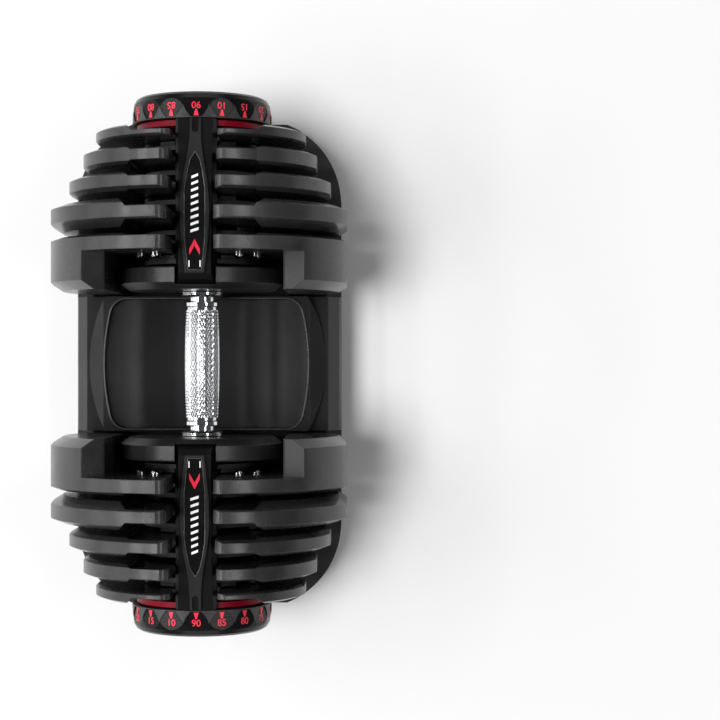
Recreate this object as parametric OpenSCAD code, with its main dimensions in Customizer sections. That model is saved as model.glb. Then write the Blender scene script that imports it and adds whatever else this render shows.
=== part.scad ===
// Dial-type adjustable dumbbell standing in its base tray.
// Millimetres. Z is up from the table, the handle runs along Y, and X is across it.
// The two ends are the same: the front end (towards -Y) is the rear end turned half round Z.

/* [Overall] */
// Length from dial face to dial face
overall_length = 442; // [400:1:540]
// Width across the largest plates
overall_width = 242; // [230:1:300]
// Height from the table to the top of the largest plates
overall_height = 244; // [230:1:270]
// Height of the handle's centre line above the table
axis_height = 121; // [112:1:130]

/* [Plates] */
// Radius of the outermost plate
radius_a = 88; // [80:0.5:92]
// Radius of the second plate
radius_b = 98.5; // [92:0.5:102]
// Radius of the third plate
radius_c = 110; // [104:0.5:114]
// Width across the side flats of the outermost plate
width_a = 173; // [160:1:176]
// Width across the side flats of the second plate
width_b = 192; // [180:1:197]
// Width across the side flats of the third plate
width_c = 215; // [204:1:220]
// Thickness of the outermost plate at its rim
thickness_a = 10.2; // [9:0.1:14]
// Thickness of the second plate at its rim
thickness_b = 14.6; // [13:0.1:18]
// Thickness of the third plate at its rim
thickness_c = 15; // [13:0.1:18]
// Thickness of the fourth plate at its rim
thickness_d = 22.4; // [20:0.1:26]
// Thickness of the innermost plate's slab
thickness_e = 13; // [12:0.1:16]
// Space between the first and second plates
gap_ab = 8.4; // [7:0.1:12]
// Space between the second and third plates
gap_bc = 7.3; // [6:0.1:12]
// Space between the third and fourth plates
gap_cd = 7; // [6:0.1:12]
// Space between the fourth and fifth plates
gap_de = 4.8; // [4:0.1:10]
// Room round the selector discs in the recess across each plate's faces
recess_room = 2; // [1:0.5:5]
// Room beside the spine in the slot that lets the handle drop in from above
slot_room = 1.9; // [0.8:0.1:3]
// Radius that leads into the top of the slot
slot_lead = 7; // [3:0.5:9]
// How far the flat foot cuts into the two smallest plates
foot_cut = 5; // [3:0.5:8]
// How far the flat foot cuts into the third plate
foot_cut_c = 10; // [6:0.5:14]
// How far the innermost plate's side arms reach towards the hand
arm_length = 30; // [20:0.5:32]
// Room between those arms and the inner disc
arm_room = 3; // [1.5:0.5:8]

/* [Handle] */
// Diameter of the steel bar through the handle
shaft_diameter = 19; // [14:0.5:24]
// Diameter of the grip at its middle
grip_diameter = 29.3; // [27:0.1:36]
// Diameter of the grip at its ends
grip_end_diameter = 26.6; // [25:0.1:34]
// Diameter of the rings that close the grip
grip_ring_diameter = 28.4; // [26:0.1:36]
// Length of each ring
grip_ring_length = 4.5; // [3:0.1:7]
// Wall of the neck beside each flange, round the bar
neck_wall = 1; // [0.8:0.1:3]
// Length of the neck beside each flange
neck_length = 4.2; // [3:0.1:7]
// Diameter of the chrome flanges
flange_diameter = 35.6; // [32:0.1:42]
// Thickness of the chrome flanges
flange_thickness = 4.3; // [3:0.1:6]
// Radius of the fixed inner discs
inner_disc_radius = 68; // [64:0.5:74]
// Width of the inner disc's rim
inner_disc_rim = 12.6; // [11.5:0.1:16]
// Depth of the bevel on the inner disc's hand side
inner_disc_bevel = 5.4; // [3:0.1:7]
// Space between the inner disc and the innermost plate
inner_disc_gap = 11; // [10.5:0.1:14]
// How far the red ring behind each dial stands out past the selector discs
ring_step = 6; // [3:0.5:9]
// Thickness of the red ring
ring_thickness = 4.6; // [3:0.1:6]

/* [Spine] */
// Width of the spine that bridges the plates
spine_width = 33.2; // [28:0.2:42]
// Height of the spine from its underside to its top
spine_height = 22; // [20:0.5:28]
// Room between the selector discs and the spine's underside
spine_room = 2; // [1:0.5:4]
// Width of the raised top at its widest
spine_belly = 23.5; // [18:0.5:26]
// Width of the raised top beside the dial
spine_tip = 8.8; // [7:0.2:14]
// Width of the raised top beside the flange
spine_heel = 15; // [12:0.5:22]
// How far the gloss inlay stands in from the edges of the raised top
inlay_margin = 2.2; // [1.5:0.1:3]
// Distance from the red ring to the inlay's point
inlay_setback = 26.8; // [20:0.2:40]
// Thickness of the inlay
inlay_thickness = 1.5; // [1:0.1:2.5]

/* [Dial] */
// Radius of the dial
dial_radius = 58; // [55:0.5:64]
// Depth of the dial from its face to its inner edge
dial_depth = 23; // [20:0.5:30]
// Number of weight settings
dial_settings = 17; // [9:1:21]
// Depth of the number pockets
pocket_depth = 1.4; // [0.8:0.1:2.5]
// Radius of the selector discs
selector_radius = 48; // [42:0.5:58]
// Wall of the turning sleeve
sleeve_wall = 5.4; // [4:0.1:6]
// Teeth of the lock wheel for each setting
teeth_per_setting = 4; // [2:1:4]

/* [Base] */
// How far the tray's sides stand in from the widest plates
tray_inset = 5.5; // [2:0.5:12]
// How far the tray's ends stand in from the dial faces
tray_end_inset = 11.5; // [4:0.5:20]
// Height of the tray's walls
tray_height = 46; // [40:1:52]
// Radius of the tray's corners in plan
tray_corner = 75.4; // [50:0.5:80]
// Height of the floor under the large plates
tray_floor = 16; // [14:0.5:20]
// Wall thickness of the tray
tray_wall = 4; // [3:0.5:6]
// Height of the console's rim above the table
console_height = 78; // [70:0.5:84]
// Half width of the console's dish at its middle
dish_half_width = 87; // [76:0.5:92]
// Depth of the dish at its middle
dish_depth = 29; // [18:0.5:31]
// Radius of the dish's corners in plan
dish_corner = 14; // [6:1:20]
// Width of the raised lip round the dish
dish_lip = 1.6; // [1:0.1:2.4]
// Height of the rubber feet that show below the tray
foot_height = 2; // [1:0.5:4]

/* [Fits] */
// Free space between the dumbbell's pieces and the tray
tray_clearance = 1; // [0.5:0.1:2]
// Gap left under the plates where they rest
rest_gap = 0.35; // [0.3:0.05:0.6]
// Side gap between turning and fixed pieces
turn_gap = 0.6; // [0.4:0.1:1]
// Radial clearance of the sleeve on its bar
bearing_clearance = 0.08; // [0.02:0.01:0.1]
// How far the lock slides drop when the dumbbell leaves its base
lock_travel = 5; // [4:0.5:5]

/* [Hidden] */
$fn = 96;
rear = 1;
front = -1;
plate_a = 0;
plate_b = 1;
plate_c = 2;
plate_d = 3;
plate_e = 4;

shaft_radius = shaft_diameter / 2;
sleeve_bore = shaft_radius + bearing_clearance;
sleeve_radius = sleeve_bore + sleeve_wall;
recess_half_width = selector_radius + recess_room;
spine_bottom = selector_radius + spine_room;
spine_top = spine_bottom + spine_height;
ring_radius = selector_radius + ring_step;
arm_inside = inner_disc_radius + arm_room;
slot_width = max(spine_width, 2 * sleeve_radius) + 2 * slot_room;

// The slot's lips are the highest points of the large plates, unless these are so wide
// that their round tops have to be cut flat
big_lip = slot_width / 2 + slot_lead;
lip_height = overall_height - axis_height;
lip_radius = sqrt(pow(lip_height, 2) + big_lip * big_lip);
big_radius = max(lip_radius, overall_width / 2 + 1);
big_top = big_radius > lip_radius ? lip_height : big_radius;
half_length = overall_length / 2;
plate_radius = [radius_a, radius_b, radius_c, big_radius, big_radius];
plate_top = [radius_a, radius_b, radius_c, big_top, big_top];
plate_width = [width_a, width_b, width_c, overall_width, overall_width];
plate_thickness = [thickness_a, thickness_b, thickness_c, thickness_d, thickness_e];
gap_before = [0, gap_ab, gap_bc, gap_cd, gap_de];
big_drop = axis_height - tray_floor;
plate_drop = [radius_a - foot_cut, radius_b - foot_cut, radius_c - foot_cut_c, big_drop, big_drop];

// Depth of the recess in the outward and inward face of each plate
recess_out = [5.4, 3.5, 3.8, 6.6, 2.3];
recess_in = [0, 2.6, 1, 5.5, 0];
// Bevels as [along Y, towards the centre]
bevel_out = [[2, 5], [2, 5], [2.5, 6], [3.9, 10], [2.5, 7]];
bevel_in = [[1.4, 3], [2.1, 5], [3.2, 6], [6.9, 11], [7, 11]];

// Places along Y, from the dial's face inwards
dial_inner = half_length - dial_depth;
ring_outer = dial_inner - turn_gap;
ring_inner = ring_outer - ring_thickness;
stack_outer = ring_inner - turn_gap;
function outer_face(k) = k == 0 ? stack_outer : inner_face(k - 1) - gap_before[k];
function inner_face(k) = outer_face(k) - plate_thickness[k];
disc_outer = inner_face(plate_e) - inner_disc_gap;
disc_inner = disc_outer - inner_disc_rim;
disc_face = disc_inner - inner_disc_bevel;
arm_end = inner_face(plate_e) - arm_length;
flange_end = disc_face - flange_thickness;
neck_end = flange_end - neck_length;
grip_half = neck_end - grip_ring_length;
grip_steps = 24;

neck_radius = shaft_radius + neck_wall;
shaft_end = half_length - 10;
dial_web = 4;
nut_start = dial_inner + dial_web + turn_gap;
nut_thickness = 6;
nut_radius = shaft_radius + 5.5;
step_angle = 360 / dial_settings;

// Selector discs and the hooks they pass under
disc_web = 4;
hook_length = 3;
hook_inner = selector_radius - 11;
hook_outer = selector_radius - 5;
ridge_inner = selector_radius - 3.5;
hook_angle = 16;
plate_units = [1, 2, 3, 5, 5];

// Lock wheel and lock slide: the slide's teeth stand clear of the wheel in the base,
// and drop into it when the dumbbell is lifted
wheel_rim = 11;
wheel_radius = sleeve_radius + wheel_rim;
wheel_teeth = dial_settings * teeth_per_setting;
tooth_depth = 2.3;
tooth_room = 0.3;
wheel_start = disc_inner + 4;
wheel_thickness = 4;
slide_thickness = 3;
slide_start = wheel_start + 0.5;
slide_rail = 5;
slide_play = 2;
cover_thickness = 2;
cavity_radius = inner_disc_radius - 7;
tooth_tip = 0.6;
tooth_root = 0.75 * PI * wheel_radius / wheel_teeth;
slide_foot = inner_disc_radius + 1.5;
slide_half = wheel_radius + slide_play + slide_rail;
slide_top = wheel_radius + 7;
spring_radius = 3;
spring_wire = 0.8;
spring_turns = 4;
inlay_sink = 0.4;
pointer_depth = 1.5;

tray_half_width = overall_width / 2 - tray_inset;
tray_half_length = half_length - tray_end_inset;
console_end = arm_end - 1.5;
corner_steps = 8;
dish_end = console_end - 2.5;
screw_side = tray_half_width - 25.5;
screw_along = console_end - 22;
screw_hole = 2;
foot_side = tray_half_width - 22;
foot_along = tray_half_length - 82;
post_half = 6;
post_top = axis_height - slide_foot - 0.4;
foot_radius = 9;

// ---------- helpers ----------

// Places a piece drawn for the rear end at the asked end, on the handle's centre line
module at_end(side) {
    translate([0, 0, axis_height])
        rotate([0, 0, side < 0 ? 180 : 0])
            children();
}

// Slab between two places along Y, from a profile drawn in X and Z
module slab(y0, y1) {
    translate([0, y1, 0])
        rotate([90, 0, 0])
            linear_extrude(y1 - y0)
                children();
}

// Turns a profile drawn as [radius, place along Y] round the centre line
module lathe() {
    rotate([-90, 0, 0])
        rotate_extrude()
            children();
}

// Ring between two places along Y
module tube(y0, y1, r1, r0) {
    slab(y0, y1)
        difference() {
            circle(r1);
            circle(r0);
        }
}

module both_ends() {
    for (side = [rear, front])
        at_end(side)
            children();
}

// ---------- plates ----------

module plate_outline(k) {
    intersection() {
        circle(plate_radius[k]);
        translate([-plate_width[k] / 2, rest_gap - plate_drop[k]])
            square([plate_width[k], plate_drop[k] - rest_gap + plate_top[k]]);
    }
}

// Everything that drops away where the handle passes, with rounded lips at the top
module slot_shape(k) {
    half = slot_width / 2;
    lip = half + slot_lead;
    top = min(plate_top[k], sqrt(pow(plate_radius[k], 2) - lip * lip)) - 0.4;
    circle(half);
    translate([-half, 0])
        square([slot_width, plate_radius[k] + 5]);
    difference() {
        translate([-lip, top - slot_lead])
            square([2 * lip, slot_lead + 10]);
        for (s = [-1, 1])
            translate([s * lip, top - slot_lead])
                circle(slot_lead);
    }
}

// Turned envelope that gives a plate the bevels round its rim
module rim_envelope(r, y0, y1, b_in, b_out) {
    lathe()
        polygon([[0, y0], [r - b_in[1], y0], [r, y0 + b_in[0]],
            [r, y1 - b_out[0]], [r - b_out[1], y1], [0, y1]]);
}

// Channel with sloped sides that thins a plate across its middle
module face_recess(y_web, y_face, r) {
    w = recess_half_width;
    d = abs(y_face - y_web);
    over = y_face > y_web ? 1 : -1;
    y_out = y_face + over;
    linear_extrude(r + 5)
        polygon([[-w, y_web], [w, y_web], [w + d + 1, y_out], [-w - d - 1, y_out]]);
    lathe()
        polygon([[0, y_web], [w, y_web], [w + d + 1, y_out], [0, y_out]]);
}

// Hook that a selector ridge passes under
module plate_hook(k) {
    y1 = inner_face(k) + recess_in[k];
    slab(y1 - hook_length, y1 + 1)
        intersection() {
            difference() {
                circle(hook_outer);
                circle(hook_inner);
            }
            polygon([[0, 0],
                [-2 * hook_outer * tan(hook_angle / 2), -2 * hook_outer],
                [2 * hook_outer * tan(hook_angle / 2), -2 * hook_outer]]);
        }
}

module plate(k, side) {
    r = plate_radius[k];
    y0 = inner_face(k);
    y1 = outer_face(k);
    color([0.16, 0.16, 0.17])
        at_end(side) {
            difference() {
                intersection() {
                    slab(y0, y1)
                        plate_outline(k);
                    rim_envelope(r, y0, y1, bevel_in[k], bevel_out[k]);
                }
                slab(y0 - 1, y1 + 1)
                    slot_shape(k);
                face_recess(y1 - recess_out[k], y1, r);
                if (recess_in[k] > 0)
                    face_recess(y0 + recess_in[k], y0, r);
            }
            plate_hook(k);
        }
}

// The innermost plate also has arms that reach round the inner disc
module plate_with_arms(side) {
    k = plate_e;
    r = plate_radius[k];
    y1 = outer_face(k);
    slab_in = inner_face(k);
    slope_x = arm_inside + 1.5;
    slope_top = arm_inside + 17;
    slope_z = sqrt(r * r - slope_top * slope_top);
    color([0.16, 0.16, 0.17])
        at_end(side) {
            difference() {
                intersection() {
                    slab(arm_end, y1)
                        plate_outline(k);
                    rim_envelope(r, arm_end, y1, bevel_in[k], bevel_out[k]);
                }
                slab(slab_in - arm_length - 1, slab_in)
                    translate([-arm_inside, -r - 1])
                        square([2 * arm_inside, 2 * r + 2]);
                slab(slab_in - arm_length - 1, slab_in)
                    polygon([[-slope_top, slope_z], [-slope_x, slope_z - 10.5], [-arm_inside, slope_z - 12],
                        [arm_inside, slope_z - 12], [slope_x, slope_z - 10.5], [slope_top, slope_z],
                        [slope_top + 1, r + 1], [-slope_top - 1, r + 1]]);
                slab(slab_in - 1, y1 + 1)
                    slot_shape(k);
                face_recess(y1 - recess_out[k], y1, r);
                rivet_holes();
            }
            plate_hook(k);
        }
}

rivet_circle = selector_radius + 12;
rivet_angles = [34, 52];
rivet_radius = 4.5;
rivet_shank = 2.5;

module rivet_places() {
    for (s = [-1, 1])
        for (a = rivet_angles)
            translate([s * rivet_circle * sin(a), inner_face(plate_e), rivet_circle * cos(a)])
                children();
}

module rivet_holes() {
    rivet_places()
        slab(-1, 8)
            circle(rivet_shank);
}

module plate_rivets(side) {
    color([0.85, 0.86, 0.88])
        at_end(side)
            rivet_places()
                lathe()
                    polygon([[0, 8], [rivet_shank, 8], [rivet_shank, 0], [rivet_radius, 0],
                        [rivet_radius, -1.6], [rivet_radius - 1, -3], [rivet_radius - 2.6, -3.7], [0, -4]]);
}

// ---------- dial and the parts that turn with it ----------

module dial_profile() {
    r = dial_radius;
    polygon([[sleeve_radius, dial_inner], [r - 1, dial_inner], [r, dial_inner + 1],
        [r, dial_inner + 9], [r - 1.4, half_length - 6], [r - 3.4, half_length - 2.4],
        [r - 6.4, half_length - 0.5], [r - 9, half_length], [r - 14, half_length],
        [r - 14, half_length - 4.5], [r - 12, half_length - 4.5], [r - 12, half_length - 7],
        [r - 6, half_length - 8], [r - 6, dial_inner + dial_web], [sleeve_radius, dial_inner + dial_web]]);
}

// Shield-shaped pocket, drawn flat with its narrow end towards the dial's inner edge
module pocket_shape() {
    wide = PI * dial_radius / dial_settings * 0.93;
    narrow = wide * 0.45;
    polygon([[-narrow, 1.6], [narrow, 1.6], [wide * 0.8, 6], [wide, 10], [wide * 0.93, 15],
        [wide * 0.62, 18.2], [wide * 0.25, 19.4], [-wide * 0.25, 19.4], [-wide * 0.62, 18.2],
        [-wide * 0.93, 15], [-wide, 10], [-wide * 0.8, 6]]);
}

module dial(side) {
    color([0.2, 0.2, 0.21])
        at_end(side)
            difference() {
                lathe()
                    dial_profile();
                for (j = [0 : dial_settings - 1])
                    rotate([0, j * step_angle, 0])
                        translate([0, dial_inner, dial_radius - pocket_depth])
                            linear_extrude(6)
                                pocket_shape();
            }
}

// One raised wedge in each pocket, pointing from the inner edge to the number
module dial_wedges(side) {
    color([0.75, 0.08, 0.14])
        at_end(side)
            for (j = [0 : dial_settings - 1])
                rotate([0, j * step_angle, 0])
                    translate([0, dial_inner, dial_radius - pocket_depth])
                        linear_extrude(0.4)
                            polygon([[-2.1, 2.4], [2.1, 2.4], [0.7, 7.6], [-0.7, 7.6]]);
}

module dial_cap(side) {
    r = dial_radius - 14;
    y = half_length - 4.5;
    color([0.13, 0.13, 0.14])
        at_end(side)
            lathe()
                polygon([[0, y - 3], [r - 6, y - 3], [r - 6, y], [r, y], [r, y + 2.4],
                    [r - 1.2, y + 3.4], [r - 6, y + 3.4], [r - 12, y + 1.6], [r - 26, y + 1],
                    [r - 30, y + 2.6], [0, y + 3.2]]);
}

// Tooth of the lock slide, dropped into the wheel's rim, or with room round it the notch
// that takes it
module tooth_shape(room) {
    tip = tooth_tip / 2 + room;
    root = tooth_root / 2 + room;
    translate([0, wheel_radius])
        polygon([[-tip, -tooth_depth - room], [tip, -tooth_depth - room], [root, 0.8], [-root, 0.8]]);
}

module rotor_sleeve(side) {
    color([0.55, 0.56, 0.58])
        at_end(side) {
            tube(wheel_start, dial_inner + dial_web, sleeve_radius, sleeve_bore);
            slab(wheel_start, wheel_start + wheel_thickness)
                difference() {
                    circle(wheel_radius);
                    circle(sleeve_radius - 1);
                    for (j = [0 : wheel_teeth - 1])
                        rotate(j * 360 / wheel_teeth)
                            tooth_shape(tooth_room);
                }
        }
}

// True when plate k is carried at a setting of n units per end
function carried(k, n) =
    let (taken = [for (i = 4, left = n, t = n >= plate_units[4] ? plate_units[4] : 0;
            i >= 0;
            left = left - t, i = i - 1,
            t = i >= 0 && left >= plate_units[i] ? plate_units[i] : 0) t])
    taken[4 - k] > 0;
function units_at(j) = j == 0 ? dial_settings - 1 : j - 1;

// Parts of a ridge ring that stand under plate k's hook at the settings that carry it
module ridge_shape(k) {
    reach = 2 * selector_radius;
    half = reach * tan(step_angle * 0.4);
    intersection() {
        difference() {
            circle(selector_radius - 0.3);
            circle(ridge_inner);
        }
        for (j = [0 : dial_settings - 1])
            if (carried(k, units_at(j)))
                rotate(180 - j * step_angle)
                    polygon([[0, 0], [half, reach], [-half, reach]]);
    }
}

module selector_discs(side) {
    color([0.3, 0.3, 0.32])
        at_end(side)
            for (k = [plate_a : plate_e]) {
                y = inner_face(k) + recess_in[k] - hook_length - 1;
                tube(y - disc_web, y, selector_radius, sleeve_radius);
                slab(y - 0.5, y + hook_length)
                    ridge_shape(k);
            }
}

// ---------- handle ----------

module handle_shaft() {
    color([0.7, 0.71, 0.73])
        translate([0, 0, axis_height])
            slab(-shaft_end, shaft_end)
                circle(shaft_radius);
}

module grip_sleeve() {
    sag = (grip_diameter - grip_end_diameter) / 2;
    crown = (grip_half * grip_half + sag * sag) / (2 * sag);
    color([0.8, 0.81, 0.83])
        translate([0, 0, axis_height])
            lathe()
                polygon(concat([[shaft_radius, grip_half], [shaft_radius, -grip_half]],
                    [for (i = [0 : grip_steps])
                        let (y = grip_half * (2 * i / grip_steps - 1))
                        [grip_diameter / 2 - crown + sqrt(crown * crown - y * y), y]]));
}

module grip_rings() {
    r = grip_ring_diameter / 2;
    color([0.85, 0.86, 0.88])
        both_ends()
            lathe()
                polygon([[shaft_radius, grip_half], [r - 0.6, grip_half], [r, grip_half + 0.6],
                    [r, neck_end - 1], [r - 1, neck_end], [shaft_radius, neck_end]]);
}

module hand_flanges() {
    r = flange_diameter / 2;
    color([0.85, 0.86, 0.88])
        both_ends()
            lathe()
                polygon([[shaft_radius, neck_end], [neck_radius, neck_end],
                    [neck_radius, flange_end - 0.8], [neck_radius + 0.8, flange_end],
                    [r - 1.2, flange_end], [r, flange_end + 1.2], [r, disc_face - 0.8],
                    [r - 0.8, disc_face], [shaft_radius, disc_face]]);
}

module shaft_nuts() {
    color([0.6, 0.61, 0.63])
        both_ends()
            slab(nut_start, nut_start + nut_thickness)
                difference() {
                    circle(nut_radius, $fn = 6);
                    circle(shaft_radius);
                }
}

// Box that the spine fills where it passes a disc or ring
module spine_notch(y0, y1) {
    slab(y0, y1)
        translate([-spine_width / 2, spine_bottom])
            square([spine_width, 60]);
}

module inner_disc(side) {
    r = inner_disc_radius;
    color([0.14, 0.14, 0.15])
        at_end(side)
            difference() {
                lathe()
                    polygon([[shaft_radius, disc_face], [r - 8, disc_face], [r, disc_inner],
                        [r, disc_outer - 1], [r - 1, disc_outer], [cavity_radius, disc_outer],
                        [cavity_radius, disc_inner + 2.6], [shaft_radius + 4, disc_inner + 2.6],
                        [shaft_radius + 4, wheel_start - turn_gap], [shaft_radius, wheel_start - turn_gap]]);
                spine_notch(disc_face + 3.5, disc_outer + 1);
                slab(slide_start - 0.5, slide_start + slide_thickness + 0.5)
                    translate([-post_half - 1, -r - 2])
                        square([2 * post_half + 2, r - cavity_radius + 6]);
            }
}

module disc_cover(side) {
    color([0.12, 0.12, 0.13])
        at_end(side)
            difference() {
                tube(disc_outer - cover_thickness, disc_outer, cavity_radius, sleeve_radius + turn_gap);
                spine_notch(disc_outer - cover_thickness - 1, disc_outer + 1);
                cover_screw_places()
                    slab(-cover_thickness - 1, 1)
                        circle(1.5);
            }
}

module cover_screw_places() {
    for (a = [-120, -60, 60, 120])
        translate([(cavity_radius - 6) * sin(a), disc_outer, (cavity_radius - 6) * cos(a)])
            children();
}

module cover_screws() {
    color([0.75, 0.76, 0.78])
        both_ends()
            cover_screw_places()
                lathe()
                    polygon([[0, -4], [1.5, -4], [1.5, 0], [3, 0], [3, 0.8], [2, 1.6], [0, 1.6]]);
}

// Flat yoke round the lock wheel: its teeth drop into the wheel, and its foot stands on the post
module lock_slide(side) {
    window = wheel_radius + slide_play;
    tooth_bar = 2 * PI * wheel_radius / wheel_teeth + tooth_root;
    color([0.75, 0.6, 0.2])
        at_end(side)
            slab(slide_start, slide_start + slide_thickness)
                union() {
                    difference() {
                        translate([-slide_half, -window - lock_travel - slide_rail])
                            square([2 * slide_half, window + lock_travel + slide_rail + slide_top + slide_rail]);
                        translate([-window, -window])
                            square([2 * window, window + slide_top]);
                    }
                    translate([-post_half, -slide_foot])
                        square([2 * post_half, slide_foot - window - lock_travel - 1]);
                    for (j = [-1 : 1])
                        translate([0, lock_travel])
                            rotate(j * 360 / wheel_teeth)
                                tooth_shape(0);
                    translate([-tooth_bar, wheel_radius + lock_travel + tooth_room])
                        square([2 * tooth_bar, slide_top - wheel_radius - lock_travel]);
                }
}

// Coil between the slide's top bar and the underside of the spine's heel
module lock_spring(side) {
    z0 = slide_top + slide_rail + 0.3;
    pitch = (spine_bottom - 0.3 - z0 - 2 * spring_wire) / (spring_turns - 1);
    color([0.7, 0.71, 0.73])
        at_end(side)
            translate([0, slide_start + slide_thickness / 2, z0 + spring_wire])
                for (i = [0 : spring_turns - 1])
                    translate([0, 0, i * pitch])
                        rotate_extrude()
                            translate([spring_radius - spring_wire, 0])
                                circle(spring_wire);
}

module lock_ring(side) {
    color([0.7, 0.05, 0.12])
        at_end(side)
            difference() {
                tube(ring_inner, ring_outer, ring_radius, sleeve_radius + turn_gap);
                spine_notch(ring_inner - 1, ring_outer + 1);
            }
}

// ---------- spine ----------

// Places along the spine: heel, widest place of the raised top, and where its top starts to fall
spine_start = disc_face + 3.5;
heel_start = spine_start + 9;
belly_at = outer_face(plate_e) + 22.5;
fall_length = 60;
fall_start = ring_outer - fall_length;
fall_depth = 8.5;
fall_slope = fall_depth / fall_length;
taper_end = ring_outer - 8;
outline_steps = 14;

// Half width of the raised top: it swells from the heel to the belly and tapers to the dial
function top_half(y) =
    y < belly_at
        ? spine_heel / 2 + (spine_belly - spine_heel) / 2 * sin(90 * (y - heel_start) / (belly_at - heel_start))
        : spine_tip / 2 + (spine_belly - spine_tip) / 4
            * (1 + cos(180 * min(1, (y - belly_at) / (taper_end - belly_at))));

// Half width of the inlay: it follows the raised top, then closes to a point like a ship's bow
inlay_start = heel_start + 2;
inlay_end = ring_outer - inlay_setback;
bow_length = 26;
bow_half = spine_belly / 2 - inlay_margin - 0.9;
bow_radius = (bow_length * bow_length + bow_half * bow_half) / (2 * bow_half);
function bow(y) =
    sqrt(bow_radius * bow_radius - pow(max(0, y - inlay_end + bow_length), 2)) - bow_radius + bow_half;
function inlay_half(y) = min(top_half(y) - inlay_margin, bow(y));

// Band that follows the spine's top, from high above it to low below it
module top_band(high, low) {
    translate([-spine_width, 0, 0])
        rotate([90, 0, 90])
            linear_extrude(2 * spine_width)
                polygon([[spine_start, spine_top + high], [fall_start, spine_top + high],
                    [ring_outer + 1, spine_top - fall_depth - fall_slope + high],
                    [ring_outer + 1, spine_top - fall_depth - fall_slope - low],
                    [fall_start, spine_top - low], [spine_start, spine_top - low]]);
}

module raised_outline() {
    ys = [for (i = [0 : outline_steps]) heel_start + (ring_outer - heel_start) * i / outline_steps];
    polygon(concat([for (y = ys) [top_half(y), y]],
        [for (i = [outline_steps : -1 : 0]) [-top_half(ys[i]), ys[i]]]));
}

module inlay_outline() {
    ys = [for (i = [0 : outline_steps - 1]) inlay_start + (inlay_end - inlay_start) * i / outline_steps];
    polygon(concat([for (y = ys) [inlay_half(y), y]], [[0, inlay_end]],
        [for (i = [outline_steps - 1 : -1 : 0]) [-inlay_half(ys[i]), ys[i]]]));
}

// Ridge-roofed bridge over the plates, with the raised top along its middle
module spine(side) {
    half = spine_width / 2;
    shoulder = spine_top - 9;
    color([0.17, 0.17, 0.18])
        at_end(side)
            intersection() {
                slab(spine_start, ring_outer)
                    polygon([[-half, spine_bottom], [half, spine_bottom], [half, spine_bottom + 7],
                        [half - 2.6, shoulder], [half - 4, spine_top], [-half + 4, spine_top],
                        [-half + 2.6, shoulder], [-half, spine_bottom + 7]]);
                translate([-spine_width, 0, 0])
                    rotate([90, 0, 90])
                        linear_extrude(2 * spine_width)
                            polygon([[spine_start, spine_bottom], [spine_start, spine_bottom + 9],
                                [heel_start, spine_top - 2], [fall_start, spine_top - 2],
                                [ring_outer, spine_top - fall_depth - 2], [ring_outer, spine_bottom]]);
            }
    color([0.24, 0.24, 0.25])
        at_end(side)
            difference() {
                intersection() {
                    translate([0, 0, shoulder - 4])
                        linear_extrude(20)
                            raised_outline();
                    top_band(0, 8);
                }
                intersection() {
                    translate([0, 0, shoulder - 4])
                        linear_extrude(30)
                            inlay_outline();
                    top_band(5, inlay_sink + inlay_thickness);
                }
                intersection() {
                    pointer_recess();
                    top_band(5, pointer_depth);
                }
            }
}

// Shallow U, open towards the dial, that marks the setting on top
module pointer_recess() {
    translate([0, ring_outer - 9, spine_bottom])
        cylinder(r = 2.6, h = 40);
    translate([-2.6, ring_outer - 9, spine_bottom])
        cube([5.2, 12, 40]);
}

module spine_inlay(side) {
    color([0.06, 0.06, 0.07])
        at_end(side)
            intersection() {
                translate([0, 0, spine_bottom])
                    linear_extrude(40)
                        inlay_outline();
                top_band(-inlay_sink, inlay_sink + inlay_thickness);
            }
}

// ---------- base ----------

// Rounded plan of the tray, cut square at its ends
module tray_outline(inset) {
    r = tray_corner;
    cx = tray_half_width - r;
    cy = tray_half_length + 5.5 - r;
    intersection() {
        square([2 * (tray_half_width - inset), 2 * (tray_half_length - inset)], center = true);
        union() {
            square([2 * tray_half_width, 2 * cy], center = true);
            square([2 * cx, 2 * cy + 2 * r], center = true);
            for (sx = [-1, 1])
                for (sy = [-1, 1])
                    translate([sx * cx, sy * cy])
                        circle(r - inset);
        }
    }
}

// Space in the tray for one plate
module plate_well(k) {
    c = tray_clearance;
    y0 = inner_face(k) - c;
    y1 = outer_face(k) + c;
    slab(y0, y1)
        intersection() {
            circle(plate_radius[k] + c);
            translate([-200, -plate_drop[k]])
                square([400, 400]);
        }
}

module arm_wells() {
    c = tray_clearance;
    slab(arm_end - c, inner_face(plate_e))
        intersection() {
            circle(big_radius + c);
            for (s = [-1, 1])
                translate([s > 0 ? arm_inside - c : -arm_inside + c - 200, -big_drop])
                    square([200, 400]);
        }
}

// Open spaces under the tray, a wall's thickness inside its sides and below its wells
module tray_hollows() {
    w = tray_wall;
    side = 2 * tray_half_width;
    intersection() {
        linear_extrude(tray_height)
            tray_outline(tray_wall + 2);
        difference() {
            union() {
                for (k = [plate_a : plate_e])
                    for (s = [-1, 1]) {
                        y0 = inner_face(k) - (k == plate_e ? 0 : gap_before[k + 1] / 2) + 1;
                        y1 = outer_face(k) + (k == plate_a ? 6 : gap_before[k] / 2) - 1;
                        translate([-side / 2, s > 0 ? y0 : -y1, 0])
                            cube([side, y1 - y0, axis_height - plate_drop[k] - w]);
                    }
                translate([-side / 2, -console_end + 6, 0])
                    cube([side, 2 * console_end - 12, tray_height - w]);
            }
            foot_places(-1)
                cylinder(r = foot_radius + 3, h = tray_height);
        }
    }
}

module screw_places(z) {
    for (sx = [-1, 1])
        for (sy = [-1, 1])
            translate([sx * screw_side, sy * screw_along, z])
                children();
}

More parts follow.
